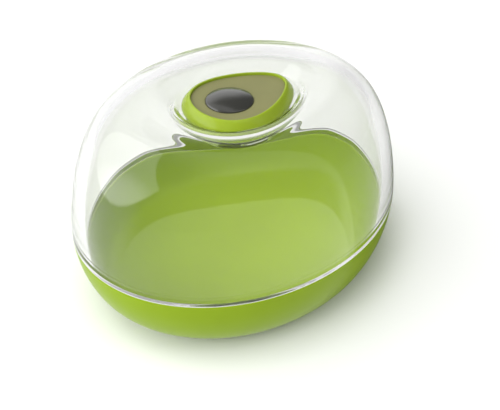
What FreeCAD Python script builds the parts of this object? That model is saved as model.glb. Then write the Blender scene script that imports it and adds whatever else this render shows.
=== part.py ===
"""Avocado keeper: a green bowl, a thick clear dome with a crater in its top,
and a half-avocado knob in the crater whose pit is the push-button of a vent valve.

Millimetres, +Z up. The origin is the centre of the footprint, on the table.
+X points to the narrow end of the avocado shapes.
"""
import FreeCAD, Part
import math
import os
import Sketcher

os.makedirs("parts", exist_ok=True)
document = FreeCAD.newDocument("avocado_keeper")

# Driving sizes

SIZES = (
    # body
    ("half_length", 70.0, "half of the body's length at the parting line"),
    ("half_width", 57.0, "half of the body's width at the parting line"),
    ("body_lean", 0.03, "how far the body's plan narrows towards +X"),
    ("parting_height", 28.5, "underside of the dome"),
    ("dome_height", 80.5, "top of the dome's crest"),
    ("dome_wall", 4.8, "wall of the dome's sides"),
    ("crest_half_length", 42.0, "half length of the ring along the crest"),
    ("land_width", 3.2, "width of the outer land that carries the dome"),
    ("lip_depth", 2.2, "how far the dome's locating lip reaches below its land"),
    ("lip_clearance", 0.25, "side gap between the lip and the bowl's rebate"),
    ("lip_floor_gap", 0.25, "gap under the lip"),
    # bowl
    ("bowl_wall", 5.1, "wall of the bowl's sides"),
    ("bowl_floor", 4.5, "thickness of the bowl's floor"),
    ("foot_half_length", 42.0, "half length of the flat that the bowl rests on"),
    ("foot_ring_width", 4.0, "width of the resting ring"),
    ("foot_recess", 1.0, "hollow under the bowl, inside the resting ring"),
    # seal between bowl and dome
    ("seal_inset", 0.9, "distance from the rim's outer edge to the seal's groove"),
    ("seal_groove_width", 1.6, "width of the groove in the rim"),
    ("seal_groove_depth", 1.5, "depth of the groove in the rim"),
    ("seal_side_gap", 0.05, "side gap of the seal in its groove"),
    ("rim_gap", 0.3, "how far the seal stands above the rim"),
    # crater
    ("crater_depth", 9.8, "depth of the crater's floor below the crest"),
    ("crater_wall", 4.0, "wall of the crater"),
    ("crater_half_length", 21.3, "half length of the crater's floor"),
    ("crater_half_width", 16.9, "half width of the crater's floor"),
    ("crater_lean", 0.22, "how far the crater's plan narrows towards +X"),
    ("crater_shift", 2.0, "shift of the crater's and the knob's plan along +X"),
    ("crater_flat_half_length", 16.5, "half length of the seat that the knob stands on"),
    ("plan_change_inner", 24.0, "half length inside which the plan is the crater's"),
    ("plan_change_outer", 44.0, "half length outside which the plan is the body's"),
    ("wall_change_inner", 33.0, "half length inside which the wall is the crater's"),
    ("wall_change_outer", 44.0, "half length outside which the wall is the dome's"),
    # knob
    ("face_half_length", 19.55, "half length of the olive face"),
    ("face_half_width", 14.85, "half width of the olive face"),
    ("face_lean", 0.30, "how far the face narrows towards +X"),
    ("face_rise", 5.9, "height of the olive face above the crater's floor"),
    ("face_thickness", 1.6, "thickness of the olive face"),
    ("face_side_gap", 0.15, "side gap between the face and the knob's lip"),
    ("face_drop", 1.0, "how far the face lies below the knob's lip"),
    ("knob_bulge", 3.6, "how far the knob's side bulges beyond its face"),
    ("knob_lip", 0.45, "width of the knob's lip"),
    ("knob_floor", 1.8, "thickness of the knob's floor"),
    ("knob_inner_wall", 2.6, "width of the ledge under the face"),
    # vent button and its valve
    ("pit_position", -3.8, "place of the pit and its valve along X"),
    ("pit_radius", 9.1, "radius of the pit"),
    ("pit_gap", 0.25, "gap round the pit in the face"),
    ("pit_crown", 2.5, "height of the pit's crown above the face"),
    ("pit_edge", 0.35, "height of the pit's straight side above the face"),
    ("pit_wall", 1.2, "wall of the pit"),
    ("pit_boss_radius", 2.8, "radius of the boss that holds the stem"),
    ("button_travel", 2.0, "how far the pit can be pressed"),
    ("stop_gap", 0.3, "gap left under the pressed pit"),
    ("stem_radius", 1.5, "radius of the valve's stem"),
    ("stem_running_gap", 0.08, "radial gap of the stem in its guide"),
    ("stem_socket_depth", 1.9, "depth of the stem's socket in the boss"),
    ("stem_tail", 1.2, "how far the stem reaches below its clip"),
    ("guide_radius", 3.4, "radius of the guide tube through the crater's floor"),
    ("guide_gap", 0.25, "radial gap of the guide tube in the crater's floor"),
    ("guide_recess", 0.5, "how far the guide tube ends above the crater's underside"),
    ("vent_radius", 0.5, "radius of a vent channel"),
    ("vent_circle", 2.5, "radius of the circle that the vent channels lie on"),
    ("seal_radius", 5.2, "radius of the valve's disc"),
    ("seal_thickness", 1.5, "thickness of the valve's disc"),
    ("clip_radius", 2.8, "outer radius of the retaining clip"),
    ("clip_thickness", 0.5, "thickness of the retaining clip"),
    ("clip_groove", 0.35, "depth of the clip's groove in the stem"),
    ("clip_groove_play", 0.05, "gap between the clip and its groove"),
    ("clip_mouth", 1.6, "width of the clip's mouth"),
    # spring
    ("spring_wire", 0.6, "diameter of the spring's wire"),
    ("spring_radius", 5.2, "mean radius of the spring"),
    ("spring_turns", 3.0, "turns of the spring"),
    # knob's gasket and screws
    ("gasket_thickness", 0.8, "thickness of the knob's gasket"),
    ("gasket_width", 2.3, "width of the knob's gasket"),
    ("gasket_side_gap", 0.2, "side gap of the gasket in its recess"),
    ("screw_position", 9.0, "place of the screws along X"),
    ("screw_spacing", 9.0, "distance between the two screws along Y"),
    ("screw_radius", 1.25, "radius of a screw's shank"),
    ("screw_hole_gap", 0.2, "radial gap of a screw in the crater's floor"),
    ("screw_head_radius", 2.4, "radius of a screw's head"),
    ("screw_head_height", 1.3, "height of a screw's head"),
    ("screw_slot", 0.6, "width of the cross in a screw's head"),
    ("screw_slot_length", 3.2, "length of the cross in a screw's head"),
    ("screw_slot_depth", 0.7, "depth of the cross in a screw's head"),
    ("boss_radius", 2.7, "radius of a screw boss in the knob"),
    ("boss_cover", 0.6, "knob material above a screw's tip"),
)

# Heights that follow from other sizes

DERIVED = (
    ("crater_floor_height", "=dome_height - crater_depth", "upper face of the crater's floor"),
    ("face_height", "=crater_floor_height + face_rise", "upper side of the olive face"),
)

sheet = document.addObject("Spreadsheet::Sheet", "sizes")
for row, (alias, number, note) in enumerate(SIZES + DERIVED, start=1):
    sheet.set(f"A{row}", alias)
    sheet.set(f"B{row}", str(number))
    sheet.setAlias(f"B{row}", alias)
    sheet.set(f"C{row}", note)
document.recompute()


def size(alias):
    """the number in the named cell"""
    return float(sheet.get(alias))


# Heights that several pieces share, as expressions on the sheet

CRATER_UNDERSIDE = "sizes.crater_floor_height - sizes.crater_wall"
KNOB_FLOOR_TOP = "sizes.crater_floor_height + sizes.knob_floor"
KNOB_FLOOR_MIDDLE = "sizes.crater_floor_height + sizes.knob_floor / 2"
FACE_SEAT = "sizes.face_height - sizes.face_thickness"
PIT_BOTTOM = f"{KNOB_FLOOR_TOP} + sizes.button_travel + sizes.stop_gap"
PIT_TOP = "sizes.face_height + sizes.pit_crown"
CLIP_TOP = f"{CRATER_UNDERSIDE} - sizes.seal_thickness"
THROUGH_BOTTOM = f"{CRATER_UNDERSIDE} - sizes.knob_floor"
THROUGH_HEIGHT = "sizes.crater_wall + 3 * sizes.knob_floor"

rim_top = size("parting_height") - size("rim_gap")
crater_underside = size("crater_floor_height") - size("crater_wall")
knob_floor_top = size("crater_floor_height") + size("knob_floor")
face_seat = size("face_height") - size("face_thickness")

# Outlines as control points. Along the body's side each point is
# (share of the way from crest or foot to the widest ring, share of the height).

DOME_SIDE = ((1.0, 0.0), (1.0, 0.106), (0.90, 0.442), (0.686, 0.731), (0.493, 0.862), (0.268, 0.952),
             (0.0, 1.0065))
CRATER_SIDE = ((0.571, 0.05), (0.30, 0.29), (0.171, 0.556), (0.10, 0.85), (0.0, 1.0))
BOWL_SIDE = ((0.0, 0.0), (0.29, 0.0), (0.55, 0.05), (0.785, 0.213), (0.94, 0.567), (0.99, 0.816),
             (1.0, 1.0))
KNOB_SIDE = ((-1.1, 0.0), (-0.6, 0.02), (0.55, 0.10), (1.16, 0.40), (0.75, 0.72))
RING_POLES = 24


def smooth(low, high, value):
    """0 below low, 1 above high, and a soft change between them"""
    share = min(max((value - low) / (high - low), 0.0), 1.0)
    return share * share * (3 - 2 * share)


def ring(half_length, half_width, lean, shift, height):
    """one egg-shaped ring: its half length, half width, narrowing, shift along X and height"""
    return (half_length, half_width, lean, shift, height)


def body_ring(half_length, height):
    """a ring of the bowl's or the dome's outside: body's plan outside, crater's plan inside"""
    outer = smooth(size("plan_change_inner"), size("plan_change_outer"), half_length)
    crater_ratio = size("crater_half_width") / size("crater_half_length")
    body_ratio = size("half_width") / size("half_length")
    ratio = crater_ratio + (body_ratio - crater_ratio) * outer
    lean = size("crater_lean") + (size("body_lean") - size("crater_lean")) * outer
    shift = size("crater_shift") * (1 - outer)
    return ring(half_length, ratio * half_length, ratio * half_length * lean, shift, height)


def inset_ring(inset, height):
    """the body's widest ring, moved inwards"""
    wide = body_ring(size("half_length"), height)
    return ring(wide[0] - inset, wide[1] - inset, wide[2], wide[3], height)


def face_ring(growth, height):
    """the face's outline, moved outwards"""
    width = size("face_half_width")
    return ring(size("face_half_length") + growth, width + growth, width * size("face_lean"),
                size("crater_shift"), height)


def ring_poles(one_ring):
    """control points of the closed curve along a ring"""
    half_length, half_width, lean, shift, height = one_ring
    step = 2 * math.pi / RING_POLES
    first = (2 + math.cos(step)) / 3
    second = (2 + math.cos(2 * step)) / 3
    poles = []
    for number in range(RING_POLES):
        angle = number * step
        x = shift + half_length * math.cos(angle) / first
        y = half_width * math.sin(angle) / first - lean * math.sin(2 * angle) / (2 * second)
        poles.append(FreeCAD.Vector(x, y, height))
    return poles


def ring_face(one_ring):
    """the flat face inside a ring"""
    curve = Part.BSplineCurve()
    knots = list(range(RING_POLES + 1))
    curve.buildFromPolesMultsKnots(ring_poles(one_ring), [1] * len(knots), knots, True, 3)
    return Part.Face(Part.Wire([curve.toShape()]))


def skin_solid(rings):
    """a solid whose side is one smooth skin over the rings, closed by flat ends"""
    around = list(range(RING_POLES + 1))
    along = list(range(len(rings) - 2))
    along_mults = [4] + [1] * (len(along) - 2) + [4]
    surface = Part.BSplineSurface()
    surface.buildFromPolesMultsKnots([ring_poles(one) for one in rings], along_mults, [1] * len(around),
                                     along, around, False, True, 3, 3)
    ends = [Part.Face(Part.Wire([surface.uIso(along[0]).toShape()])),
            Part.Face(Part.Wire([surface.uIso(along[-1]).toShape()]))]
    shell = Part.makeShell([surface.toShape()] + ends)
    shell.sewShape()
    solid = Part.Solid(shell)
    if solid.Volume < 0:
        solid.reverse()
    return solid


def moved_in(rings, walls):
    """the rings moved to the inner side of the wall, each by its own thickness"""
    inner = []
    for number, here in enumerate(rings):
        before = rings[max(number - 1, 0)]
        after = rings[min(number + 1, len(rings) - 1)]
        along = after[0] - before[0]
        up = after[4] - before[4]
        length = math.hypot(along, up)
        out = -walls[number] * up / length
        rise = walls[number] * along / length
        inner.append(ring(here[0] + out, here[1] + out, here[2], here[3], here[4] + rise))
    return inner


def feature(name, shape):
    """a document object that holds a shape made from the sheet's sizes"""
    made = document.addObject("Part::Feature", name)
    made.Shape = shape
    made.Placement = FreeCAD.Placement()
    return made


def prism(name, one_ring, top):
    """the straight solid above a ring, up to the height top"""
    return feature(name, ring_face(one_ring).extrude(FreeCAD.Vector(0, 0, top - one_ring[4])))


def cut(name, base, tools):
    """base without the tools"""
    for number, tool in enumerate(tools):
        made = document.addObject("Part::Cut", f"{name}_cut_{number + 1}")
        made.Base = base
        made.Tool = tool
        base = made
    return base


def fuse(name, pieces):
    """one solid from several"""
    made = document.addObject("Part::MultiFuse", name)
    made.Shapes = pieces
    return made


def place(made, x, y, z):
    """puts an object at a point given by expressions on the sheet"""
    made.setExpression("Placement.Base.x", x)
    made.setExpression("Placement.Base.y", y)
    made.setExpression("Placement.Base.z", z)


def cylinder(name, radius, height, x, y, z):
    """an upright cylinder whose sizes and place are expressions on the sheet"""
    made = document.addObject("Part::Cylinder", name)
    made.setExpression("Radius", radius)
    made.setExpression("Height", height)
    place(made, x, y, z)
    return made


def box(name, length, width, height, x, y, z):
    """an upright box, centred on x and y, whose sizes are expressions on the sheet"""
    made = document.addObject("Part::Box", name)
    made.setExpression("Length", length)
    made.setExpression("Width", width)
    made.setExpression("Height", height)
    place(made, f"{x} - ({length}) / 2", f"{y} - ({width}) / 2", z)
    return made


def turned(name, points, arcs=()):
    """a body of revolution about the valve's axis

    points are (radius, height) expressions round the half section, and arcs holds the numbers
    of the sides that are arcs with their centre on the axis.
    """
    body = document.addObject("PartDesign::Body", name)
    sketch = body.newObject("Sketcher::SketchObject", f"{name}_section")
    plane = [item for item in body.Origin.OriginFeatures if item.Role == "XZ_Plane"][0]
    sketch.AttachmentSupport = [(plane, "")]
    sketch.MapMode = "FlatFace"
    numbers = [(float(sketch.evalExpression(radius)), float(sketch.evalExpression(height)))
               for radius, height in points]
    count = len(points)
    for side in range(count):
        start = FreeCAD.Vector(*numbers[side], 0)
        end = FreeCAD.Vector(*numbers[(side + 1) % count], 0)
        if side in arcs:
            sketch.addGeometry(crown_arc(start, end), False)
        else:
            sketch.addGeometry(Part.LineSegment(start, end), False)
    for side in range(count):
        finish = 1 if side in arcs else 2
        begin = 2 if (side + 1) % count in arcs else 1
        sketch.addConstraint(Sketcher.Constraint("Coincident", side, finish, (side + 1) % count, begin))
        if side in arcs:
            sketch.addConstraint(Sketcher.Constraint("PointOnObject", side, 3, -2))
    for side, (radius, height) in enumerate(points):
        corner = 2 if side in arcs else 1
        if radius == "0":
            sketch.addConstraint(Sketcher.Constraint("PointOnObject", side, corner, -2))
        else:
            across = Sketcher.Constraint("DistanceX", -1, 1, side, corner, numbers[side][0])
            sketch.setExpression(f"Constraints[{sketch.addConstraint(across)}]", radius)
        upward = Sketcher.Constraint("DistanceY", -1, 1, side, corner, numbers[side][1])
        sketch.setExpression(f"Constraints[{sketch.addConstraint(upward)}]", height)
    turn = body.newObject("PartDesign::Revolution", f"{name}_turn")
    turn.Profile = sketch
    turn.ReferenceAxis = (sketch, ["V_Axis"])
    turn.Angle = 360
    body.setExpression("Placement.Base.x", "sizes.pit_position")
    return body


def crown_arc(start, end):
    """the arc from start on the axis down to end, with its centre on the axis"""
    drop = start.y - end.y
    radius = (end.x ** 2 + drop ** 2) / (2 * drop)
    centre = FreeCAD.Vector(0, start.y - radius, 0)
    circle = Part.Circle(centre, FreeCAD.Vector(0, 0, 1), radius)
    low = math.atan2(end.y - centre.y, end.x)
    return Part.ArcOfCircle(circle, low, math.pi / 2)


# Skins of the bowl and the dome

def dome_rings():
    """the dome's outside, from its land over the crest to the knob's seat"""
    crest = size("crest_half_length")
    floor_edge = size("crater_half_length")
    reach = size("half_length") - crest
    foot = size("parting_height")
    rise = size("dome_height") - foot
    rings = [body_ring(crest + reach * outward, foot + rise * upward) for outward, upward in DOME_SIDE]
    top = rings[-1][4]
    for outward, downward in CRATER_SIDE:
        height = top - (top - size("crater_floor_height")) * downward
        rings.append(body_ring(floor_edge + (crest - floor_edge) * outward, height))
    rings.append(body_ring(size("crater_flat_half_length"), size("crater_floor_height")))
    return rings


def dome_walls(rings):
    """the wall at each ring: thick at the side, thinner in the crater"""
    walls = []
    for one in rings:
        outer = smooth(size("wall_change_inner"), size("wall_change_outer"), one[0])
        walls.append(size("crater_wall") + (size("dome_wall") - size("crater_wall")) * outer)
    return walls


def bowl_rings():
    """the bowl's outside, from its resting flat to its rim"""
    foot = size("foot_half_length")
    return [body_ring(foot + (size("half_length") - foot) * outward, rim_top * upward)
            for outward, upward in BOWL_SIDE]


def bowl_walls(rings):
    """the wall at each ring: the floor's thickness below, the side's above"""
    walls = []
    for one in rings:
        side = smooth(0, size("half_length") - size("foot_half_length"), one[0] - size("foot_half_length"))
        walls.append(size("bowl_floor") + (size("bowl_wall") - size("bowl_floor")) * side)
    return walls


# Bowl

def make_bowl():
    outside = bowl_rings()
    inside = moved_in(outside, bowl_walls(outside))
    inside[-1] = inset_ring(size("bowl_wall"), rim_top + size("rim_gap"))
    ledge = rim_top + size("rim_gap") - size("lip_depth") - size("lip_floor_gap")
    above = size("parting_height")
    groove_bottom = rim_top - size("seal_groove_depth")
    groove_inner = size("seal_inset") + size("seal_groove_width")
    block = feature("bowl_block", skin_solid(outside))
    hollow = feature("bowl_hollow", skin_solid(inside))
    rebate = prism("bowl_rebate", inset_ring(size("land_width"), ledge), above)
    groove_block = prism("bowl_groove_outer", inset_ring(size("seal_inset"), groove_bottom), above)
    groove_core = prism("bowl_groove_inner", inset_ring(groove_inner, groove_bottom), above)
    groove = cut("bowl_groove", groove_block, [groove_core])
    ring_inside = size("foot_half_length") - size("foot_ring_width")
    recess = prism("bowl_foot_recess", body_ring(ring_inside, 0), size("foot_recess"))
    bowl = cut("bowl", block, [hollow, rebate, groove, recess])
    bowl.Label = "base_bowl"
    return bowl


def make_rim_gasket():
    bottom = rim_top - size("seal_groove_depth")
    outer = size("seal_inset") + size("seal_side_gap")
    inner = size("seal_inset") + size("seal_groove_width") - size("seal_side_gap")
    block = prism("rim_gasket_outer", inset_ring(outer, bottom), size("parting_height"))
    hole = prism("rim_gasket_inner", inset_ring(inner, bottom), size("parting_height"))
    gasket = cut("rim_gasket", block, [hole])
    gasket.Label = "rim_gasket"
    return gasket


# Dome

def make_dome():
    outside = dome_rings()
    inside = moved_in(outside, dome_walls(outside))
    lip_bottom = size("parting_height") - size("lip_depth")
    inside[0] = inset_ring(size("dome_wall"), lip_bottom - size("lip_floor_gap"))
    inside[-1] = ring(*inside[-1][:4], crater_underside)
    inside[-2] = ring(*inside[-2][:4], crater_underside)
    block = feature("dome_block", skin_solid(outside))
    hollow = feature("dome_hollow", skin_solid(inside))
    lip_inset = size("land_width") + size("lip_clearance")
    lip = prism("dome_lip", inset_ring(lip_inset, lip_bottom), size("parting_height") + size("dome_wall"))
    whole = fuse("dome_with_lip", [block, lip])
    guide_hole = cylinder("dome_guide_hole", "sizes.guide_radius + sizes.guide_gap", THROUGH_HEIGHT,
                          "sizes.pit_position", "0", THROUGH_BOTTOM)
    holes = [guide_hole]
    for number, side in enumerate((-1, 1)):
        holes.append(cylinder(f"dome_screw_hole_{number + 1}", "sizes.screw_radius + sizes.screw_hole_gap",
                              THROUGH_HEIGHT, "sizes.screw_position",
                              f"{side} * sizes.screw_spacing / 2", THROUGH_BOTTOM))
    dome = cut("dome", whole, [hollow] + holes)
    dome.Label = "lid_dome"
    return dome


# Knob

def make_knob_body():
    base = size("crater_floor_height")
    tall = size("face_height") + size("face_drop") - base
    rings = [face_ring(size("knob_bulge") * outward, base + tall * upward) for outward, upward in KNOB_SIDE]
    lip_outer = size("face_side_gap") + size("knob_lip")
    rings.append(face_ring(lip_outer + size("knob_lip"), base + tall))
    rings.append(face_ring(lip_outer, base + tall))
    block = feature("knob_block", skin_solid(rings))
    recess = prism("knob_recess", face_ring(size("face_side_gap"), face_seat), base + 2 * tall)
    cavity = prism("knob_cavity", face_ring(-size("knob_inner_wall"), knob_floor_top), base + tall)
    shell = cut("knob_shell", block, [recess, cavity])
    guide = cylinder("knob_guide", "sizes.guide_radius",
                     "sizes.crater_wall - sizes.guide_recess + sizes.knob_floor / 2",
                     "sizes.pit_position", "0", f"{CRATER_UNDERSIDE} + sizes.guide_recess")
    gasket_seat = cut("knob_gasket_seat", cylinder(
        "knob_gasket_seat_outer",
        "sizes.guide_radius + sizes.guide_gap + 2 * sizes.gasket_side_gap + sizes.gasket_width",
        "sizes.gasket_thickness", "sizes.pit_position", "0", "sizes.crater_floor_height"),
        [cylinder("knob_gasket_seat_inner", "sizes.guide_radius", "sizes.gasket_thickness",
                  "sizes.pit_position", "0", "sizes.crater_floor_height")])
    bosses = []
    pilots = []
    for number, side in enumerate((-1, 1)):
        across = f"{side} * sizes.screw_spacing / 2"
        bosses.append(cylinder(f"knob_boss_{number + 1}", "sizes.boss_radius",
                               f"{FACE_SEAT} - ({KNOB_FLOOR_MIDDLE})",
                               "sizes.screw_position", across, KNOB_FLOOR_MIDDLE))
        pilots.append(cylinder(f"knob_pilot_{number + 1}", "sizes.screw_radius",
                               f"{FACE_SEAT} - sizes.boss_cover - ({THROUGH_BOTTOM})",
                               "sizes.screw_position", across, THROUGH_BOTTOM))
    seated = cut("knob_seated", shell, [gasket_seat])
    whole = fuse("knob_whole", [seated, guide] + bosses)
    bore = cylinder("knob_bore", "sizes.stem_radius + sizes.stem_running_gap", THROUGH_HEIGHT,
                    "sizes.pit_position", "0", THROUGH_BOTTOM)
    vents = []
    for number in range(4):
        angle = 45 + 90 * number
        vents.append(cylinder(f"knob_vent_{number + 1}", "sizes.vent_radius", THROUGH_HEIGHT,
                              f"sizes.pit_position + sizes.vent_circle * cos({angle})",
                              f"sizes.vent_circle * sin({angle})", THROUGH_BOTTOM))
    knob = cut("knob", whole, [bore] + vents + pilots)
    knob.Label = "knob_body"
    return knob


def make_knob_face():
    plate = prism("face_plate", face_ring(0, face_seat), size("face_height"))
    hole = cylinder("face_hole", "sizes.pit_radius + sizes.pit_gap", "3 * sizes.face_thickness",
                    "sizes.pit_position", "0", f"{FACE_SEAT} - sizes.face_thickness")
    face = cut("face", plate, [hole])
    face.Label = "knob_face"
    return face


def make_knob_gasket():
    inner = "sizes.guide_radius + sizes.guide_gap + sizes.gasket_side_gap"
    outer = f"{inner} + sizes.gasket_width"
    low = "sizes.crater_floor_height"
    high = "sizes.crater_floor_height + sizes.gasket_thickness"
    gasket = turned("gasket", ((inner, low), (outer, low), (outer, high), (inner, high)))
    gasket.Label = "knob_gasket"
    return gasket


def make_screws():
    """two self-tapping screws from below, each with a cross in its head"""
    screws = []
    for number, side in enumerate((-1, 1)):
        across = f"{side} * sizes.screw_spacing / 2"
        head_bottom = f"{CRATER_UNDERSIDE} - sizes.screw_head_height"
        reach = f"{FACE_SEAT} - sizes.boss_cover - ({head_bottom})"
        head = cylinder(f"screw_head_{number + 1}", "sizes.screw_head_radius", "sizes.screw_head_height",
                        "sizes.screw_position", across, head_bottom)
        shank = cylinder(f"screw_shank_{number + 1}", "sizes.screw_radius", reach,
                         "sizes.screw_position", across, head_bottom)
        whole = fuse(f"screw_{number + 1}", [head, shank])
        slots = []
        for turn, (length, width) in enumerate((("sizes.screw_slot_length", "sizes.screw_slot"),
                                                ("sizes.screw_slot", "sizes.screw_slot_length"))):
            slots.append(box(f"screw_slot_{number + 1}_{turn + 1}", length, width, "sizes.screw_slot_depth",
                             "sizes.screw_position", across, head_bottom))
        screws.append(cut(f"screw_crossed_{number + 1}", whole, slots))
    pair = document.addObject("Part::Compound", "screws")
    pair.Links = screws
    pair.Label = "knob_screws"
    return pair


# Vent button and valve

def make_pit_button():
    radius = "sizes.pit_radius"
    inner = "sizes.pit_radius - sizes.pit_wall"
    edge = "sizes.face_height + sizes.pit_edge"
    inner_top = f"{PIT_TOP} - sizes.pit_wall"
    inner_edge = f"{edge} - sizes.pit_wall / 2"
    socket_top = f"{PIT_BOTTOM} + sizes.stem_socket_depth"
    points = (
        ("0", PIT_TOP),
        (radius, edge),
        (radius, PIT_BOTTOM),
        (inner, PIT_BOTTOM),
        (inner, inner_edge),
        ("sizes.pit_boss_radius", inner_top),
        ("sizes.pit_boss_radius", PIT_BOTTOM),
        ("sizes.stem_radius", PIT_BOTTOM),
        ("sizes.stem_radius", socket_top),
        ("0", socket_top),
    )
    button = turned("pit", points, arcs=(0,))
    button.Label = "pit_button"
    return button


def make_valve_stem():
    top = f"{PIT_BOTTOM} + sizes.stem_socket_depth"
    groove_top = CLIP_TOP
    groove_bottom = f"{CLIP_TOP} - sizes.clip_thickness - sizes.clip_groove_play"
    tail = f"{groove_bottom} - sizes.stem_tail"
    radius = "sizes.stem_radius"
    groove = "sizes.stem_radius - sizes.clip_groove"
    chamfered = "sizes.stem_radius - sizes.clip_groove"
    points = (
        ("0", tail),
        (chamfered, tail),
        (radius, f"{tail} + sizes.clip_groove"),
        (radius, groove_bottom),
        (groove, groove_bottom),
        (groove, groove_top),
        (radius, groove_top),
        (radius, top),
        ("0", top),
    )
    stem = turned("stem", points)
    stem.Label = "valve_stem"
    return stem


def make_valve_seal():
    """a soft disc, thinner towards its edge, tight on the stem"""
    low = f"{CRATER_UNDERSIDE} - sizes.seal_thickness"
    edge_low = f"{CRATER_UNDERSIDE} - sizes.seal_thickness / 2"
    points = (
        ("sizes.stem_radius", low),
        ("sizes.clip_radius", low),
        ("sizes.seal_radius", edge_low),
        ("sizes.seal_radius", CRATER_UNDERSIDE),
        ("sizes.stem_radius", CRATER_UNDERSIDE),
    )
    seal = turned("seal", points)
    seal.Label = "valve_seal"
    return seal


def make_stem_clip():
    """an open retaining ring in the stem's groove"""
    low = f"{CLIP_TOP} - sizes.clip_thickness"
    bore = "sizes.stem_radius - sizes.clip_groove + sizes.clip_groove_play"
    disc = cylinder("clip_disc", "sizes.clip_radius", "sizes.clip_thickness",
                    "sizes.pit_position", "0", low)
    hole = cylinder("clip_hole", bore, "sizes.clip_thickness", "sizes.pit_position", "0", low)
    mouth = box("clip_mouth_cut", "sizes.clip_radius", "sizes.clip_mouth", "sizes.clip_thickness",
                "sizes.pit_position + sizes.clip_radius / 2", "0", low)
    clip = cut("clip", disc, [hole, mouth])
    clip.Label = "stem_clip"
    return clip


# Spring

def spring_height():
    """the room between the knob's floor and the pit's underside, where the spring stands"""
    boss = size("pit_boss_radius")
    inner = size("pit_radius") - size("pit_wall")
    inner_top = size("face_height") + size("pit_crown") - size("pit_wall")
    inner_edge = size("face_height") + size("pit_edge") - size("pit_wall") / 2
    reach = size("spring_radius") + size("spring_wire") / 2
    roof = inner_top + (inner_edge - inner_top) * (reach - boss) / (inner - boss)
    return roof - knob_floor_top


def helix_point(share, turns, rise, bottom):
    """a point of the spring's centre line and the direction there"""
    angle = 2 * math.pi * turns * share
    radius = size("spring_radius")
    point = FreeCAD.Vector(size("pit_position") + radius * math.cos(angle), radius * math.sin(angle),
                           bottom + rise * share)
    slope = rise / (2 * math.pi * turns)
    direction = FreeCAD.Vector(-radius * math.sin(angle), radius * math.cos(angle), slope)
    return point, direction.normalize()


def arc_between(start, direction, end):
    """the arc from start, leaving along direction, to end"""
    chord = end - start
    length = chord.Length
    along = FreeCAD.Vector(chord).normalize()
    side = direction - along * direction.dot(along)
    side.normalize()
    half_turn = math.acos(min(1.0, direction.dot(along)))
    middle = start + chord * 0.5 + side * (length / 2 * math.tan(half_turn / 2))
    return Part.Arc(start, middle, end).toShape()


def make_spring():
    wire_radius = size("spring_wire") / 2
    turns = size("spring_turns")
    room = spring_height()
    bottom = knob_floor_top + wire_radius
    rise = room - 2 * wire_radius
    quarters = int(round(turns * 4))
    edges = []
    for number in range(quarters):
        start, leaving = helix_point(number / quarters, turns, rise, bottom)
        end, arriving = helix_point((number + 1) / quarters, turns, rise, bottom)
        chord = end - start
        both = leaving + arriving
        spread = 2 * (1 - leaving.dot(arriving))
        reach = chord.dot(both)
        handle = (-reach + math.sqrt(reach * reach + spread * chord.dot(chord))) / spread
        joint = (start + leaving * handle + end - arriving * handle) * 0.5
        edges.append(arc_between(start, leaving, joint))
        middle_direction = (end - arriving * handle - start - leaving * handle).normalize()
        edges.append(arc_between(joint, middle_direction, end))
    path = Part.Wire(edges)
    start, leaving = helix_point(0, turns, rise, bottom)
    section = Part.Wire([Part.Circle(start, leaving, wire_radius).toShape()])
    tube = path.makePipeShell([section], True, False)
    pitch = rise / turns
    print("spring: pitch", round(pitch, 3), "least gap between turns", round(pitch - 2 * wire_radius, 3),
          "wire length", round(path.Length, 2), "volume", round(tube.Volume, 3),
          "section times length", round(math.pi * wire_radius ** 2 * path.Length, 3))
    spring = feature("spring", tube)
    spring.Label = "button_spring"
    return spring


pieces = [
    make_bowl(),
    make_rim_gasket(),
    make_dome(),
    make_knob_body(),
    make_knob_face(),
    make_knob_gasket(),
    make_screws(),
    make_pit_button(),
    make_spring(),
    make_valve_stem(),
    make_valve_seal(),
    make_stem_clip(),
]
document.recompute()

# Every object and every piece is sound before anything is written

for item in document.Objects:
    if "Invalid" in item.State or "Error" in item.State:
        raise RuntimeError(f"{item.Name} failed: {item.State}")
for piece in pieces:
    if piece.Shape.isNull() or not piece.Shape.isValid():
        raise RuntimeError(f"{piece.Label} has no sound shape")
for piece in pieces:
    piece.Shape.exportStep(f"parts/{piece.Label}.step")
    bounds = piece.Shape.BoundBox
    print(piece.Label, "solids", len(piece.Shape.Solids), "volume", round(piece.Shape.Volume, 2),
          "z", round(bounds.ZMin, 3), round(bounds.ZMax, 3))
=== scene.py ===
"""Looks of the avocado keeper: green bowl, thick clear dome, half-avocado knob with a dark pit.

Sizes are in millimetres, turned into metres by MM where a mesh is made.
The floor and the lamps are placed in metres.
"""
import bpy
import math
import numpy as np
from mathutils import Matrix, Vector


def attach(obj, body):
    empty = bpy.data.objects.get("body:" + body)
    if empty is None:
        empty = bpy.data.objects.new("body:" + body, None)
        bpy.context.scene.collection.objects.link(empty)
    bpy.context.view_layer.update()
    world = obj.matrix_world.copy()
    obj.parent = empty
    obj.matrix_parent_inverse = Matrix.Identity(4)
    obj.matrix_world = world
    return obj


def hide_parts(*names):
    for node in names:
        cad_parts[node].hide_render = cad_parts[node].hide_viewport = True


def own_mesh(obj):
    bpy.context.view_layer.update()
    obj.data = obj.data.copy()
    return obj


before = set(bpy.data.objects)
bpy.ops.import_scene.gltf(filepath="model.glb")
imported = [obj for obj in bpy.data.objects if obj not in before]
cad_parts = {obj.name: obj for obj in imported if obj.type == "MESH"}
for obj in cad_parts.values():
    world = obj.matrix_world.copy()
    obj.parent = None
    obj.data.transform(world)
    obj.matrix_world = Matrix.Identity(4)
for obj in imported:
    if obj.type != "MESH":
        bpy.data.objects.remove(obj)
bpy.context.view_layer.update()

MM = 0.001

# Driving sizes: the solids' own, but for the bowl's wall and smaller gaps

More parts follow.
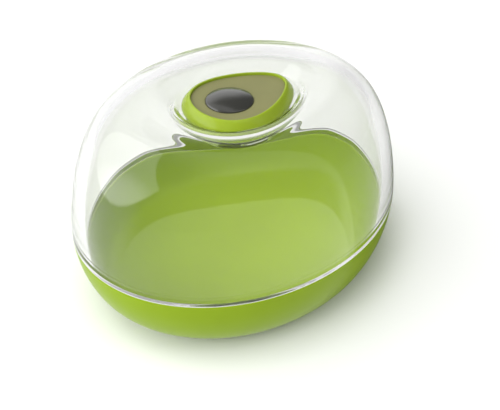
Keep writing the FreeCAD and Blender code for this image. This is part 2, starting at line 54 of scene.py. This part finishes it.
# Bowl and dome
HALF_LENGTH = 70.0
HALF_WIDTH = 57.0
BODY_LEAN = 0.03
PARTING = 28.5
DOME_TOP = 80.5
DOME_WALL = 4.8
CREST_HALF = 42.0
LAND_WIDTH = 3.2
LIP_DEPTH = 2.2
LIP_SIDE_GAP = 0.25
LIP_FLOOR_GAP = 0.05
BOWL_WALL = 4.85
BOWL_FLOOR = 4.5
FOOT_HALF = 42.0
FOOT_RING = 4.0
FOOT_RECESS = 1.0
SEAL_INSET = 0.9
SEAL_WIDTH = 1.6
SEAL_DEPTH = 1.5
SEAL_SIDE_GAP = 0.05
SEAL_TOP_GAP = 0.02
RIM_GAP = 0.1

# Crater
CRATER_FLOOR = 70.7
CRATER_WALL = 4.0
CRATER_HALF = 21.3
CRATER_HALF_WIDTH = 16.9
CRATER_LEAN = 0.22
CRATER_SHIFT = 2.0
SEAT_HALF = 16.5

# The half lengths between which the plan, and the dome's wall, change from the crater's to the body's
PLAN_CHANGE = (24.0, 44.0)
WALL_CHANGE = (33.0, 44.0)

# Knob and its face
FACE_HALF = 19.55
FACE_HALF_WIDTH = 14.85
FACE_LEAN = 0.30
FACE_TOP = 76.6
FACE_THICKNESS = 1.6
FACE_SIDE_GAP = 0.02
FACE_DROP = 1.0
KNOB_BULGE = 3.6
KNOB_LIP = 0.45
KNOB_FLOOR = 1.8
KNOB_LEDGE = 2.6

# Pit, its guide tube and the screws
PIT_X = -3.8
PIT_RADIUS = 9.1
PIT_GAP = 0.06
PIT_CROWN = 2.5
PIT_EDGE = 0.35
PIT_WALL = 1.2
PIT_BOSS = 2.8
PIT_TRAVEL = 2.0
STOP_GAP = 0.3
GUIDE_RADIUS = 3.4
GUIDE_GAP = 0.25
GUIDE_RECESS = 0.5
GUIDE_TAPER = 0.4
STEM_HOLE = 1.58
SCREW_X = 9.0
SCREW_SPACING = 9.0
SCREW_HOLE = 1.45

# Heights that follow
RIM = PARTING - RIM_GAP
LIP_BOTTOM = PARTING - LIP_DEPTH
LEDGE = LIP_BOTTOM - LIP_FLOOR_GAP
CRATER_UNDERSIDE = CRATER_FLOOR - CRATER_WALL
FACE_SEAT = FACE_TOP - FACE_THICKNESS
LIP_TOP = FACE_TOP + FACE_DROP
KNOB_INSIDE = CRATER_FLOOR + KNOB_FLOOR
PIT_BOTTOM = KNOB_INSIDE + PIT_TRAVEL + STOP_GAP

# Outlines as control points: share of the way outwards, share of the height
DOME_SIDE = ((1.0, 0.0), (1.0, 0.106), (0.90, 0.442), (0.686, 0.731),
             (0.493, 0.862), (0.268, 0.952), (0.0, 1.0065))
CRATER_SIDE = ((0.571, 0.05), (0.30, 0.29), (0.171, 0.556), (0.10, 0.85), (0.0, 1.0))
BOWL_SIDE = ((0.0, 0.0), (0.29, 0.0), (0.55, 0.05), (0.785, 0.213),
             (0.94, 0.567), (0.99, 0.816), (1.0, 1.0))
KNOB_SIDE = ((-1.1, 0.0), (-0.6, 0.02), (0.55, 0.10), (1.16, 0.40), (0.75, 0.72))

# Fineness of the meshes, and how far a hole's cutter reaches past the floor on each side
AROUND = 192
DOME_ROWS = 220
BOWL_ROWS = 70
KNOB_ROWS = 60
PIT_ROWS = 24
CORNER_STEPS = 4
FLAT_SHARES = (0.1, 0.4, 0.7)
SHARP_ANGLE = math.radians(38)
HOLE_SIDES = 64
CUT_PAST = 1.0
TURN = np.linspace(0, 2 * math.pi, AROUND, endpoint=False)


# Rings and skins. A ring is (half length, half width, lean, shift along X, height).

def smooth(low, high, value):
    """0 at low and 1 at high, with a soft start and end"""
    share = min(max((value - low) / (high - low), 0.0), 1.0)
    return share * share * (3 - 2 * share)


def body_ring(half, height):
    """the bowl's and the dome's plan outside, the crater's plan inside"""
    outer = smooth(PLAN_CHANGE[0], PLAN_CHANGE[1], half)
    crater_ratio = CRATER_HALF_WIDTH / CRATER_HALF
    ratio = crater_ratio + (HALF_WIDTH / HALF_LENGTH - crater_ratio) * outer
    lean = CRATER_LEAN + (BODY_LEAN - CRATER_LEAN) * outer
    return (half, ratio * half, ratio * half * lean, CRATER_SHIFT * (1 - outer), height)


def grown(ring, growth, height=None):
    """the ring moved outwards by growth, and to a height"""
    return (ring[0] + growth, ring[1] + growth, ring[2], ring[3], ring[4] if height is None else height)


def shrunk(ring, share):
    """the ring drawn in to a share of its size"""
    return (ring[0] * share, ring[1] * share, ring[2] * share, ring[3], ring[4])


def flat_out(ring):
    """rings over the flat disc inside a ring, from its middle outwards"""
    return [shrunk(ring, share) for share in FLAT_SHARES]


def flat_in(ring):
    """the same rings, from the outside to the middle"""
    return flat_out(ring)[::-1]


def rim_ring(inset, height):
    """the body's outline where dome and bowl meet, moved in"""
    return grown(body_ring(HALF_LENGTH, height), -inset)


def face_ring(growth, height):
    """the outline of the knob's face, moved out"""
    flat = (FACE_HALF, FACE_HALF_WIDTH, FACE_HALF_WIDTH * FACE_LEAN, CRATER_SHIFT, height)
    return grown(flat, growth)


def spline(controls, count):
    """rows along the clamped cubic curve that the control rows define"""
    controls = np.array(controls, float)
    last = len(controls) - 1
    knots = np.concatenate([[0] * 3, np.linspace(0, 1, last - 1), [1] * 3])
    rows = []
    for share in np.linspace(0, 1, count):
        span = min(max(int(np.searchsorted(knots, share, side="right")) - 1, 3), last)
        near = [controls[span - 3 + number].copy() for number in range(4)]
        for level in range(1, 4):
            for number in range(3, level - 1, -1):
                first = knots[span - 3 + number]
                width = knots[span + number + 1 - level] - first
                weight = (share - first) / width
                near[number] = (1 - weight) * near[number - 1] + weight * near[number]
        rows.append(tuple(near[3]))
    return rows


def moved_in(rings, walls):
    """the control rings moved to the wall's other side"""
    inner = []
    for number, here in enumerate(rings):
        before = rings[max(number - 1, 0)]
        after = rings[min(number + 1, len(rings) - 1)]
        along = after[0] - before[0]
        up = after[4] - before[4]
        length = math.hypot(along, up)
        out = -walls[number] * up / length
        inner.append(grown(here, out, here[4] + walls[number] * along / length))
    return inner


def corner(ring, radius, start, stop):
    """rings round a small corner arc whose centre lies on the given ring; degrees, 0 outwards, 90 up"""
    rows = []
    for degrees in np.linspace(start, stop, CORNER_STEPS + 1):
        angle = math.radians(degrees)
        rows.append(grown(ring, radius * math.cos(angle), ring[4] + radius * math.sin(angle)))
    return rows


def points(ring):
    """the ring's points in metres"""
    half_length, half_width, lean, shift, height = ring
    x = shift + half_length * np.cos(TURN)
    y = half_width * np.sin(TURN) - lean * np.sin(2 * TURN) / 2
    return np.stack([x, y, np.full(AROUND, height)], 1) * MM


def circle(radius, height):
    """a round ring about the pit's axis, in metres"""
    return np.stack([PIT_X + radius * np.cos(TURN), radius * np.sin(TURN), np.full(AROUND, height)], 1) * MM


def skin(name, rings, body, finish):
    """a mesh over successive rings of points, closed at its ends, or into itself where both ends meet"""
    closed = np.allclose(rings[0], rings[-1])
    if closed:
        rings = rings[:-1]
    count = len(rings)
    vertices = np.concatenate(rings)
    faces = []
    for number in range(count if closed else count - 1):
        low = number * AROUND
        high = ((number + 1) % count) * AROUND
        for step in range(AROUND):
            beside = (step + 1) % AROUND
            faces.append((low + step, low + beside, high + beside, high + step))
    if not closed:
        first = len(vertices)
        vertices = np.concatenate([vertices, [rings[0].mean(0)], [rings[-1].mean(0)]])
        top = (count - 1) * AROUND
        for step in range(AROUND):
            beside = (step + 1) % AROUND
            faces.append((first, beside, step))
            faces.append((first + 1, top + step, top + beside))
    mesh = bpy.data.meshes.new(name)
    mesh.from_pydata([tuple(vertex) for vertex in vertices], [], faces)
    mesh.update()
    return shown(name, mesh, body, finish)


def shown(name, mesh, body, finish):
    """the mesh as a shown object with outward faces, smooth but for its sharp edges"""
    made = bpy.data.objects.new(name, mesh)
    bpy.context.scene.collection.objects.link(made)
    only(made)
    bpy.ops.object.mode_set(mode="EDIT")
    bpy.ops.mesh.select_all(action="SELECT")
    bpy.ops.mesh.normals_make_consistent(inside=False)
    bpy.ops.object.mode_set(mode="OBJECT")
    mesh.polygons.foreach_set("use_smooth", [True] * len(mesh.polygons))
    mesh.set_sharp_from_angle(angle=SHARP_ANGLE)
    mesh.materials.clear()
    mesh.materials.append(finish)
    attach(made, body)
    return made


def only(made):
    """selects this object alone"""
    bpy.ops.object.select_all(action="DESELECT")
    made.select_set(True)
    bpy.context.view_layer.objects.active = made


def drilled(made, holes, bottom, top):
    """cuts upright round holes, each (x, y, radius), through the floor between two heights"""
    for x, y, radius in holes:
        bpy.ops.mesh.primitive_cylinder_add(vertices=HOLE_SIDES, radius=radius * MM,
                                            depth=(top - bottom + 2 * CUT_PAST) * MM,
                                            location=(x * MM, y * MM, (bottom + top) / 2 * MM))
        tool = bpy.context.object
        cut = made.modifiers.new("hole", "BOOLEAN")
        cut.object = tool
        cut.solver = "EXACT"
        only(made)
        bpy.ops.object.modifier_apply(modifier=cut.name)
        bpy.data.objects.remove(tool, do_unlink=True)


# Materials

CLEAR_COLOR = (0.93, 0.93, 0.93)
BOWL_COLOR = (0.225, 0.335, 0.009)
KNOB_COLOR = (0.262, 0.36, 0.02)
FACE_COLOR = (0.205, 0.203, 0.085)
PIT_COLOR = (0.03, 0.03, 0.026)
SILICONE_COLOR = (0.42, 0.55, 0.16)
WHITE_SILICONE_COLOR = (0.72, 0.74, 0.68)
STEEL_COLOR = (0.62, 0.62, 0.63)
COAT_ROUGHNESS = 0.05
WAVE_DETAIL = 3
CLOUD_SIZE = 6
CLOUD_EDGES = (0.3, 0.7)


def material(name, color, roughness, shine=0.2, coat=0.0, ior=1.46, transmission=0.0, metallic=0.0):
    """a principled material with constants on its own sockets"""
    made = bpy.data.materials.new(name)
    made.use_nodes = True
    shader = made.node_tree.nodes["Principled BSDF"]
    shader.inputs["Base Color"].default_value = (*color, 1)
    shader.inputs["Metallic"].default_value = metallic
    shader.inputs["Roughness"].default_value = roughness
    shader.inputs["IOR"].default_value = ior
    shader.inputs["Coat Weight"].default_value = coat
    shader.inputs["Coat Roughness"].default_value = COAT_ROUGHNESS
    shader.inputs["Transmission Weight"].default_value = transmission
    shader.inputs["Specular IOR Level"].default_value = shine
    return made


def moulded(made, scale, depth, strength, tint=0.0):
    """the faint waviness of moulded plastic as bump, its depth in millimetres, and a faint cloud of colour"""
    nodes = made.node_tree.nodes
    links = made.node_tree.links
    shader = nodes["Principled BSDF"]
    place = nodes.new("ShaderNodeTexCoord")
    noise = nodes.new("ShaderNodeTexNoise")
    noise.inputs["Scale"].default_value = scale
    noise.inputs["Detail"].default_value = WAVE_DETAIL
    links.new(place.outputs["Object"], noise.inputs["Vector"])
    bump = nodes.new("ShaderNodeBump")
    bump.inputs["Strength"].default_value = strength
    bump.inputs["Distance"].default_value = depth * MM
    links.new(noise.outputs["Fac"], bump.inputs["Height"])
    links.new(bump.outputs["Normal"], shader.inputs["Normal"])
    if tint:
        base = shader.inputs["Base Color"].default_value[:3]
        ramp = nodes.new("ShaderNodeValToRGB")
        darker, lighter = ramp.color_ramp.elements
        darker.position, lighter.position = CLOUD_EDGES
        darker.color = [channel * (1 - tint) for channel in base] + [1]
        lighter.color = [min(channel * (1 + tint), 1) for channel in base] + [1]
        cloud = nodes.new("ShaderNodeTexNoise")
        cloud.inputs["Scale"].default_value = scale / CLOUD_SIZE
        links.new(place.outputs["Object"], cloud.inputs["Vector"])
        links.new(cloud.outputs["Fac"], ramp.inputs["Fac"])
        links.new(ramp.outputs["Color"], shader.inputs["Base Color"])
    return made


clear = moulded(material("clear_acrylic", CLEAR_COLOR, roughness=0.0, shine=0.5, ior=1.49, transmission=1.0),
                scale=40, depth=0.002, strength=0.05, tint=0.005)
bowl_green = moulded(material("bowl_green", BOWL_COLOR, roughness=0.3, shine=0.1),
                     scale=260, depth=0.02, strength=0.15, tint=0.03)
knob_green = moulded(material("knob_green", KNOB_COLOR, roughness=0.2, shine=0.4),
                     scale=300, depth=0.02, strength=0.15, tint=0.03)
face_olive = moulded(material("face_olive", FACE_COLOR, roughness=0.45),
                     scale=400, depth=0.02, strength=0.2, tint=0.04)
pit_dark = moulded(material("pit_dark", PIT_COLOR, roughness=0.22, shine=0.55, coat=0.5, ior=1.6),
                   scale=350, depth=0.02, strength=0.15, tint=0.05)
silicone = moulded(material("soft_silicone", SILICONE_COLOR, roughness=0.5),
                   scale=500, depth=0.02, strength=0.2)
white_silicone = moulded(material("white_silicone", WHITE_SILICONE_COLOR, roughness=0.55),
                         scale=500, depth=0.02, strength=0.2)
steel = moulded(material("bright_steel", STEEL_COLOR, roughness=0.25, metallic=1.0),
                scale=900, depth=0.01, strength=0.2)


# Dome

def dome_controls():
    """the outside's control rings, from the parting line over the crest into the crater"""
    rise = DOME_TOP - PARTING
    rings = []
    for out, up in DOME_SIDE:
        rings.append(body_ring(CREST_HALF + (HALF_LENGTH - CREST_HALF) * out, PARTING + rise * up))
    top = rings[-1][4]
    for out, down in CRATER_SIDE:
        half = CRATER_HALF + (CREST_HALF - CRATER_HALF) * out
        rings.append(body_ring(half, top - (top - CRATER_FLOOR) * down))
    rings.append(body_ring(SEAT_HALF, CRATER_FLOOR))
    return rings


def dome_walls(rings):
    """thick at the side, thinner in the crater"""
    return [CRATER_WALL + (DOME_WALL - CRATER_WALL) * smooth(*WALL_CHANGE, ring[0]) for ring in rings]


def dome_lip():
    """the land that rests on the rim, and the lip inside the bowl"""
    edge = 0.35
    lip_outer = LAND_WIDTH + LIP_SIDE_GAP
    rows = corner(rim_ring(edge, PARTING + edge), edge, 0, -90)
    rows += [rim_ring(lip_outer, PARTING)]
    rows += corner(rim_ring(lip_outer + edge, LIP_BOTTOM + edge), edge, 0, -90)
    rows += corner(rim_ring(DOME_WALL - edge, LIP_BOTTOM + edge), edge, -90, -180)
    return rows


def make_dome():
    controls = dome_controls()
    inner = moved_in(controls, dome_walls(controls))
    inner[0] = rim_ring(DOME_WALL, LEDGE)
    inner[-2] = grown(inner[-2], 0, CRATER_UNDERSIDE)
    inner[-1] = grown(inner[-1], 0, CRATER_UNDERSIDE)
    lip = dome_lip()
    lip_top = lip[0][4]
    outer_rows = [row for row in spline(controls, DOME_ROWS) if row[4] > lip_top or row[0] < CREST_HALF]
    inner_rows = [row for row in spline(inner, DOME_ROWS) if row[4] > PARTING]
    rows = flat_out(outer_rows[-1]) + outer_rows[::-1] + lip + inner_rows + flat_in(inner_rows[-1])
    dome = skin("dome_clear", [points(row) for row in rows], "lid", clear)
    holes = [(PIT_X, 0, GUIDE_RADIUS + GUIDE_GAP)]
    holes += [(SCREW_X, side * SCREW_SPACING / 2, SCREW_HOLE) for side in (-1, 1)]
    drilled(dome, holes, CRATER_UNDERSIDE, CRATER_FLOOR)
    # The lamps' light reaches the bowl straight through the clear wall
    dome.visible_shadow = False
    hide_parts("lid_dome")


# Bowl

def bowl_foot():
    """the recess under the floor and the inner edge of the resting ring"""
    edge = 0.3
    recess = body_ring(FOOT_HALF - FOOT_RING, 0)
    rows = flat_out(grown(recess, 0, FOOT_RECESS))
    rows += [grown(recess, -edge, FOOT_RECESS), grown(recess, 0, FOOT_RECESS - edge)]
    rows += corner(grown(recess, edge, edge), edge, 180, 270)
    return rows


def bowl_rim(edge):
    """the rim with its groove for the gasket, and the ledge under the dome's lip"""
    land_edge = 0.2
    groove_in = SEAL_INSET + SEAL_WIDTH
    rows = corner(rim_ring(edge, RIM - edge), edge, 0, 90)
    rows += [rim_ring(SEAL_INSET, RIM), rim_ring(SEAL_INSET, RIM - SEAL_DEPTH)]
    rows += [rim_ring(groove_in, RIM - SEAL_DEPTH), rim_ring(groove_in, RIM)]
    rows += corner(rim_ring(LAND_WIDTH - land_edge, RIM - land_edge), land_edge, 90, 180)
    rows += [rim_ring(LAND_WIDTH, LEDGE)]
    rows += corner(rim_ring(BOWL_WALL - edge, LEDGE - edge), edge, 90, 180)
    return rows


def make_bowl():
    edge = 0.4
    spread = HALF_LENGTH - FOOT_HALF
    outside = [body_ring(FOOT_HALF + spread * out, RIM * up) for out, up in BOWL_SIDE]
    walls = []
    for ring in outside:
        walls.append(BOWL_FLOOR + (BOWL_WALL - BOWL_FLOOR) * smooth(0, spread, ring[0] - FOOT_HALF))
    inside = moved_in(outside, walls)
    inside[-1] = rim_ring(BOWL_WALL, PARTING)
    outer_rows = [row for row in spline(outside, BOWL_ROWS) if row[4] < RIM - edge]
    inner_rows = [row for row in spline(inside, BOWL_ROWS) if row[4] < LEDGE - edge]
    rows = bowl_foot() + outer_rows + bowl_rim(edge) + inner_rows[::-1] + flat_in(inner_rows[0])
    bowl = skin("bowl_shell", [points(row) for row in rows], "base", bowl_green)
    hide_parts("base_bowl")


def make_rim_gasket():
    outer = SEAL_INSET + SEAL_SIDE_GAP
    inner = SEAL_INSET + SEAL_WIDTH - SEAL_SIDE_GAP
    bottom = RIM - SEAL_DEPTH
    top = PARTING - SEAL_TOP_GAP
    edge = 0.25
    rows = [rim_ring(inner, bottom), rim_ring(outer, bottom)]
    rows += corner(rim_ring(outer + edge, top - edge), edge, 0, 90)
    rows += corner(rim_ring(inner - edge, top - edge), edge, 90, 180)
    rows += [rim_ring(inner, bottom)]
    gasket = skin("rim_seal", [points(row) for row in rows], "base", silicone)
    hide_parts("rim_gasket")


# Knob

def knob_side():
    """the shell's outside, from its foot over the bulge to the lip"""
    tall = LIP_TOP - CRATER_FLOOR
    lip_outer = FACE_SIDE_GAP + KNOB_LIP
    controls = [face_ring(KNOB_BULGE * out, CRATER_FLOOR + tall * up) for out, up in KNOB_SIDE]
    controls += [face_ring(lip_outer + KNOB_LIP, LIP_TOP), face_ring(lip_outer, LIP_TOP)]
    return spline(controls, KNOB_ROWS)


def make_knob():
    edge = 0.25
    tube_lap = 0.3
    side = knob_side()
    rows = flat_out(side[0]) + side
    rows += corner(face_ring(FACE_SIDE_GAP + edge, LIP_TOP - edge), edge, 90, 180)
    rows += [face_ring(FACE_SIDE_GAP, FACE_SEAT), face_ring(-KNOB_LEDGE, FACE_SEAT)]
    rows += [face_ring(-KNOB_LEDGE, KNOB_INSIDE)]
    rows += flat_in(rows[-1])
    knob = skin("knob_shell", [points(row) for row in rows], "lid", knob_green)
    # The guide tube's wall laps over the edge of this hole
    drilled(knob, [(PIT_X, 0, GUIDE_RADIUS - tube_lap)], CRATER_FLOOR, KNOB_INSIDE)
    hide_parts("knob_body")


def make_guide_tube():
    """the knob's tube for the valve stem, down through the crater's floor"""
    bottom = CRATER_UNDERSIDE + GUIDE_RECESS
    outside = [circle(GUIDE_RADIUS, bottom), circle(GUIDE_RADIUS, CRATER_FLOOR)]
    top = [circle(GUIDE_RADIUS - GUIDE_TAPER, KNOB_INSIDE), circle(STEM_HOLE, KNOB_INSIDE)]
    back_down = [circle(STEM_HOLE, bottom), circle(GUIDE_RADIUS, bottom)]
    guide = skin("knob_guide_tube", outside + top + back_down, "lid", knob_green)


def make_face():
    edge = 0.15
    flat_steps = 6
    hole = PIT_RADIUS + PIT_GAP
    outline = [points(ring) for ring in corner(face_ring(-edge, FACE_TOP - edge), edge, 0, 90)]
    hole_top = circle(hole + edge, FACE_TOP)
    flat = [outline[-1] + (hole_top - outline[-1]) * step / flat_steps for step in range(1, flat_steps)]
    hole_edge = []
    for angle in np.linspace(0, math.pi / 2, CORNER_STEPS):
        radius = hole + edge - edge * math.sin(angle)
        hole_edge.append(circle(radius, FACE_TOP - edge + edge * math.cos(angle)))
    bottom = [circle(hole, FACE_SEAT), points(face_ring(0, FACE_SEAT))]
    face = skin("face_plate", bottom[1:] + outline + flat + hole_edge + bottom, "lid", face_olive)
    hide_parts("knob_face")


def pit_crown(top, edge_top):
    """the pit's outside: part of a sphere with a small round edge, whose middle lies a little in and down"""
    edge = 0.15
    middle_in = 0.08
    middle_down = 0.03
    first_lean = 0.02
    crown_share = 0.97
    drop = top - edge_top
    sphere = (PIT_RADIUS ** 2 + drop ** 2) / (2 * drop)
    lean = math.asin(PIT_RADIUS / sphere)
    rings = []
    for angle in np.linspace(first_lean, lean * crown_share, PIT_ROWS):
        rings.append(circle(sphere * math.sin(angle), top - sphere * (1 - math.cos(angle))))
    rings += [circle(PIT_RADIUS - middle_in, edge_top - middle_down), circle(PIT_RADIUS, edge_top - edge)]
    return rings


def make_pit():
    top = FACE_TOP + PIT_CROWN
    edge_top = FACE_TOP + PIT_EDGE
    inner = PIT_RADIUS - PIT_WALL
    rings = pit_crown(top, edge_top)
    rings += [circle(PIT_RADIUS, PIT_BOTTOM), circle(inner, PIT_BOTTOM)]
    rings += [circle(inner, edge_top - PIT_WALL / 2), circle(PIT_BOSS, top - PIT_WALL)]
    rings += [circle(PIT_BOSS, PIT_BOTTOM), circle(PIT_BOSS / 4, PIT_BOTTOM)]
    pit = skin("pit_dome", rings, "vent", pit_dark)
    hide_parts("pit_button")


make_dome()
make_bowl()
make_rim_gasket()
make_knob()
make_guide_tube()
make_face()
make_pit()

# Solids that keep their own shape

for node, finish in (("knob_gasket", white_silicone), ("valve_seal", white_silicone), ("knob_screws", steel),
                     ("button_spring", steel), ("valve_stem", steel), ("stem_clip", steel)):
    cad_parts[node].data.materials.clear()
    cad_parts[node].data.materials.append(finish)

# The spring stands on the knob's floor and is squeezed by the pit's travel; here it only gets a mesh of its
# own

spring_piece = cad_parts["button_spring"]
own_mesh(spring_piece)

# Floor, in metres: a pale plate that turns white far from the keeper; its faint green tint is painted green
# light, bounced off the bowl, that shows in its shadow

FLOOR_SIZE = 1.6
FLOOR_FADE = (0.4, 0.75)
# Pale grey with a faint painted green tint that stands in for light bounced off the green bowl
FLOOR_COLOR_WITH_PAINTED_BOUNCE = (0.82, 0.832, 0.808)


def whiten_far(made, near, far):
    """lets the material turn into plain white between two distances from the centre"""
    nodes = made.node_tree.nodes
    links = made.node_tree.links
    place = nodes.new("ShaderNodeTexCoord")
    distance = nodes.new("ShaderNodeVectorMath")
    distance.operation = "LENGTH"
    links.new(place.outputs["Object"], distance.inputs[0])
    share = nodes.new("ShaderNodeMapRange")
    share.interpolation_type = "SMOOTHSTEP"
    share.inputs["From Min"].default_value = near
    share.inputs["From Max"].default_value = far
    links.new(distance.outputs["Value"], share.inputs["Value"])
    white = nodes.new("ShaderNodeEmission")
    mix = nodes.new("ShaderNodeMixShader")
    links.new(share.outputs["Result"], mix.inputs["Fac"])
    links.new(nodes["Principled BSDF"].outputs["BSDF"], mix.inputs[1])
    links.new(white.outputs["Emission"], mix.inputs[2])
    links.new(mix.outputs["Shader"], nodes["Material Output"].inputs["Surface"])


def make_floor():
    floor_white = material("floor_white", FLOOR_COLOR_WITH_PAINTED_BOUNCE, roughness=0.7)
    whiten_far(floor_white, *FLOOR_FADE)
    bpy.ops.mesh.primitive_plane_add(size=FLOOR_SIZE, location=(0, 0, 0))
    floor = bpy.context.object
    floor.name = "floor"
    floor.data.materials.append(floor_white)
    floor.visible_glossy = False


make_floor()

# Room: white to the camera, while the keeper mirrors a dim room with lighter regions.
# A region is a direction, and the cosines of the angles from it where the region begins and is full.

ROOM_LIGHT = 0.12
BAND_ABOVE = ((0.912, 0.379, 0.159), 0.38, 0.41)
BAND_BELOW = ((-0.5, -0.837, -0.222), 0.25, 0.36)
BAND_BESIDE = ((-0.9, 0.1, 0.4), 0.3, 0.85)
BAND_LIGHT = 0.7
LOW_CARD = ((-0.345, -0.621, -0.704), 0.45, 0.475)
LOW_CARD_LIGHT = 1.2
BACK = ((-0.25, 0.97, 0), 0.2, 0.5)
BACK_ABOVE = ((0, 0, 1), 0.5, 0.8)
BACK_LIGHT = 1.0
PATCH = ((-0.681, 0.508, 0.527), 0.79, 0.82)
PATCH_BESIDE = ((0.184, -0.737, 0.65), 0.26, 0.29)
PATCH_LIGHT = 2.0
PATCH_HEART = ((-0.93, 0.36, 0.05), 0.8, 1.0)
PATCH_HEART_LIGHT = 4.5
RIM_CARD = ((0.345, 0.574, 0.743), 0.965, 0.971)
RIM_CARD_LIGHT = 0.4
THROUGH_LIFT = 0.9

world = bpy.data.worlds.new("studio")
bpy.context.scene.world = world
world.use_nodes = True
nodes = world.node_tree.nodes
links = world.node_tree.links
looking = nodes.new("ShaderNodeTexCoord").outputs["Generated"]


def within(region):
    """1 inside the region and 0 outside it, soft between"""
    direction, begin, full = region
    dot = nodes.new("ShaderNodeVectorMath")
    dot.operation = "DOT_PRODUCT"
    dot.inputs[1].default_value = Vector(direction).normalized()
    links.new(looking, dot.inputs[0])
    step = nodes.new("ShaderNodeMapRange")
    step.interpolation_type = "SMOOTHSTEP"
    step.inputs["From Min"].default_value = begin
    step.inputs["From Max"].default_value = full
    links.new(dot.outputs["Value"], step.inputs["Value"])
    return step.outputs["Result"]


def blend(share, low, high):
    """low where share is 0 and high where it is 1; both may be numbers or sockets"""
    mix = nodes.new("ShaderNodeMix")
    links.new(share, mix.inputs["Factor"])
    for name, value in (("A", low), ("B", high)):
        if isinstance(value, float):
            mix.inputs[name].default_value = value
        else:
            links.new(value, mix.inputs[name])
    return mix.outputs["Result"]


def beyond(region):
    """0 inside the region and 1 outside it"""
    return blend(within(region), 1.0, 0.0)


def both(first, second):
    """the product of two shares"""
    product = nodes.new("ShaderNodeMath")
    product.operation = "MULTIPLY"
    links.new(first, product.inputs[0])
    links.new(second, product.inputs[1])
    return product.outputs["Value"]


def lifted(value, share):
    """the value lifted towards 1 by a fixed share"""
    lift = nodes.new("ShaderNodeMath")
    lift.operation = "MULTIPLY_ADD"
    links.new(value, lift.inputs[0])
    lift.inputs[1].default_value = 1 - share
    lift.inputs[2].default_value = share
    return lift.outputs["Value"]


def mirrored_room():
    """the room that the gloss shows: a band, a low card, a light back and a bright patch at the left"""
    band = both(both(beyond(BAND_ABOVE), beyond(BAND_BELOW)), beyond(BAND_BESIDE))
    behind = both(within(BACK), beyond(BACK_ABOVE))
    patch = both(within(PATCH), beyond(PATCH_BESIDE))
    room = blend(band, ROOM_LIGHT, BAND_LIGHT)
    room = blend(within(LOW_CARD), room, LOW_CARD_LIGHT)
    room = blend(behind, room, BACK_LIGHT)
    return blend(patch, room, blend(within(PATCH_HEART), PATCH_LIGHT, PATCH_HEART_LIGHT))


ray = nodes.new("ShaderNodeLightPath").outputs
mirrored = mirrored_room()
seen_through = blend(within(RIM_CARD), lifted(mirrored, THROUGH_LIFT), RIM_CARD_LIGHT)
room = blend(ray["Is Transmission Ray"], mirrored, seen_through)
room = blend(ray["Is Camera Ray"], room, 1.0)
background = nodes["Background"]
background.inputs["Color"].default_value = (1, 1, 1, 1)
links.new(room, background.inputs["Strength"])

# Lamps, in metres: three large ones about the keeper, and a small one under the crater

LAMP_AIM = (0, 0, 0.03)
LAMPS = (("key", (-3.5, -1.3, 2.8), 3.4, 114),
         ("top", (-0.6, 0.2, 4.0), 2.6, 75),
         ("fill", (2.4, -1.4, 1.3), 2.4, 20))
INSIDE_PLACE = (0.015, -0.012, 0.058)
INSIDE_SIZE = 0.06
INSIDE_POWER = 0.019
INSIDE_COLOR = (1.0, 0.9, 1.0)
INSIDE_SPREAD = 150


def soft_light(name, place, target, size, power, color=(1, 1, 1), spread=180):
    """a square soft lamp that is neither mirrored nor seen through the dome"""
    lamp = bpy.data.lights.new(name, "AREA")
    lamp.size = size
    lamp.energy = power
    lamp.color = color
    lamp.spread = math.radians(spread)
    holder = bpy.data.objects.new(name, lamp)
    bpy.context.scene.collection.objects.link(holder)
    holder.location = place
    holder.rotation_euler = (Vector(target) - Vector(place)).to_track_quat("-Z", "Y").to_euler()
    holder.visible_glossy = False
    holder.visible_transmission = False


for name, place, size, power in LAMPS:
    soft_light(name, place, LAMP_AIM, size, power)
soft_light("inside", INSIDE_PLACE, (*INSIDE_PLACE[:2], 0), INSIDE_SIZE, INSIDE_POWER, INSIDE_COLOR,
           INSIDE_SPREAD)

# Camera: fitted to the photograph's outline, parting line, knob and pit

CAMERA_AZIMUTH = -39.41
CAMERA_ELEVATION = 38.32
CAMERA_DISTANCE = 342.1
AIM_HEIGHT = 45.0
AIM_RIGHT = 4.71
AIM_UP = -15.77
FOCAL = 61.86
SENSOR_WIDTH = 36
CLIP_START = 10.0

azimuth = math.radians(CAMERA_AZIMUTH)
elevation = math.radians(CAMERA_ELEVATION)
level = math.cos(elevation)
back = Vector((math.sin(azimuth) * level, -math.cos(azimuth) * level, math.sin(elevation)))
right = (-back).cross(Vector((0, 0, 1))).normalized()
up = right.cross(-back)
target = Vector((0, 0, AIM_HEIGHT)) + right * AIM_RIGHT + up * AIM_UP
camera = bpy.data.cameras.new("camera")
camera.sensor_width = SENSOR_WIDTH
camera.lens = FOCAL
camera.clip_start = CLIP_START * MM
holder = bpy.data.objects.new("camera", camera)
bpy.context.scene.collection.objects.link(holder)
holder.location = (target + back * CAMERA_DISTANCE) * MM
holder.rotation_euler = (-back).to_track_quat("-Z", "Y").to_euler()
bpy.context.scene.camera = holder
bpy.context.scene.view_settings.view_transform = "Standard"

# A ray may cross or be mirrored in the thick dome many times before it leaves

LIGHT_STEPS = 60
paths = bpy.context.scene.cycles
paths.max_bounces = LIGHT_STEPS
paths.transmission_bounces = LIGHT_STEPS
paths.glossy_bounces = LIGHT_STEPS
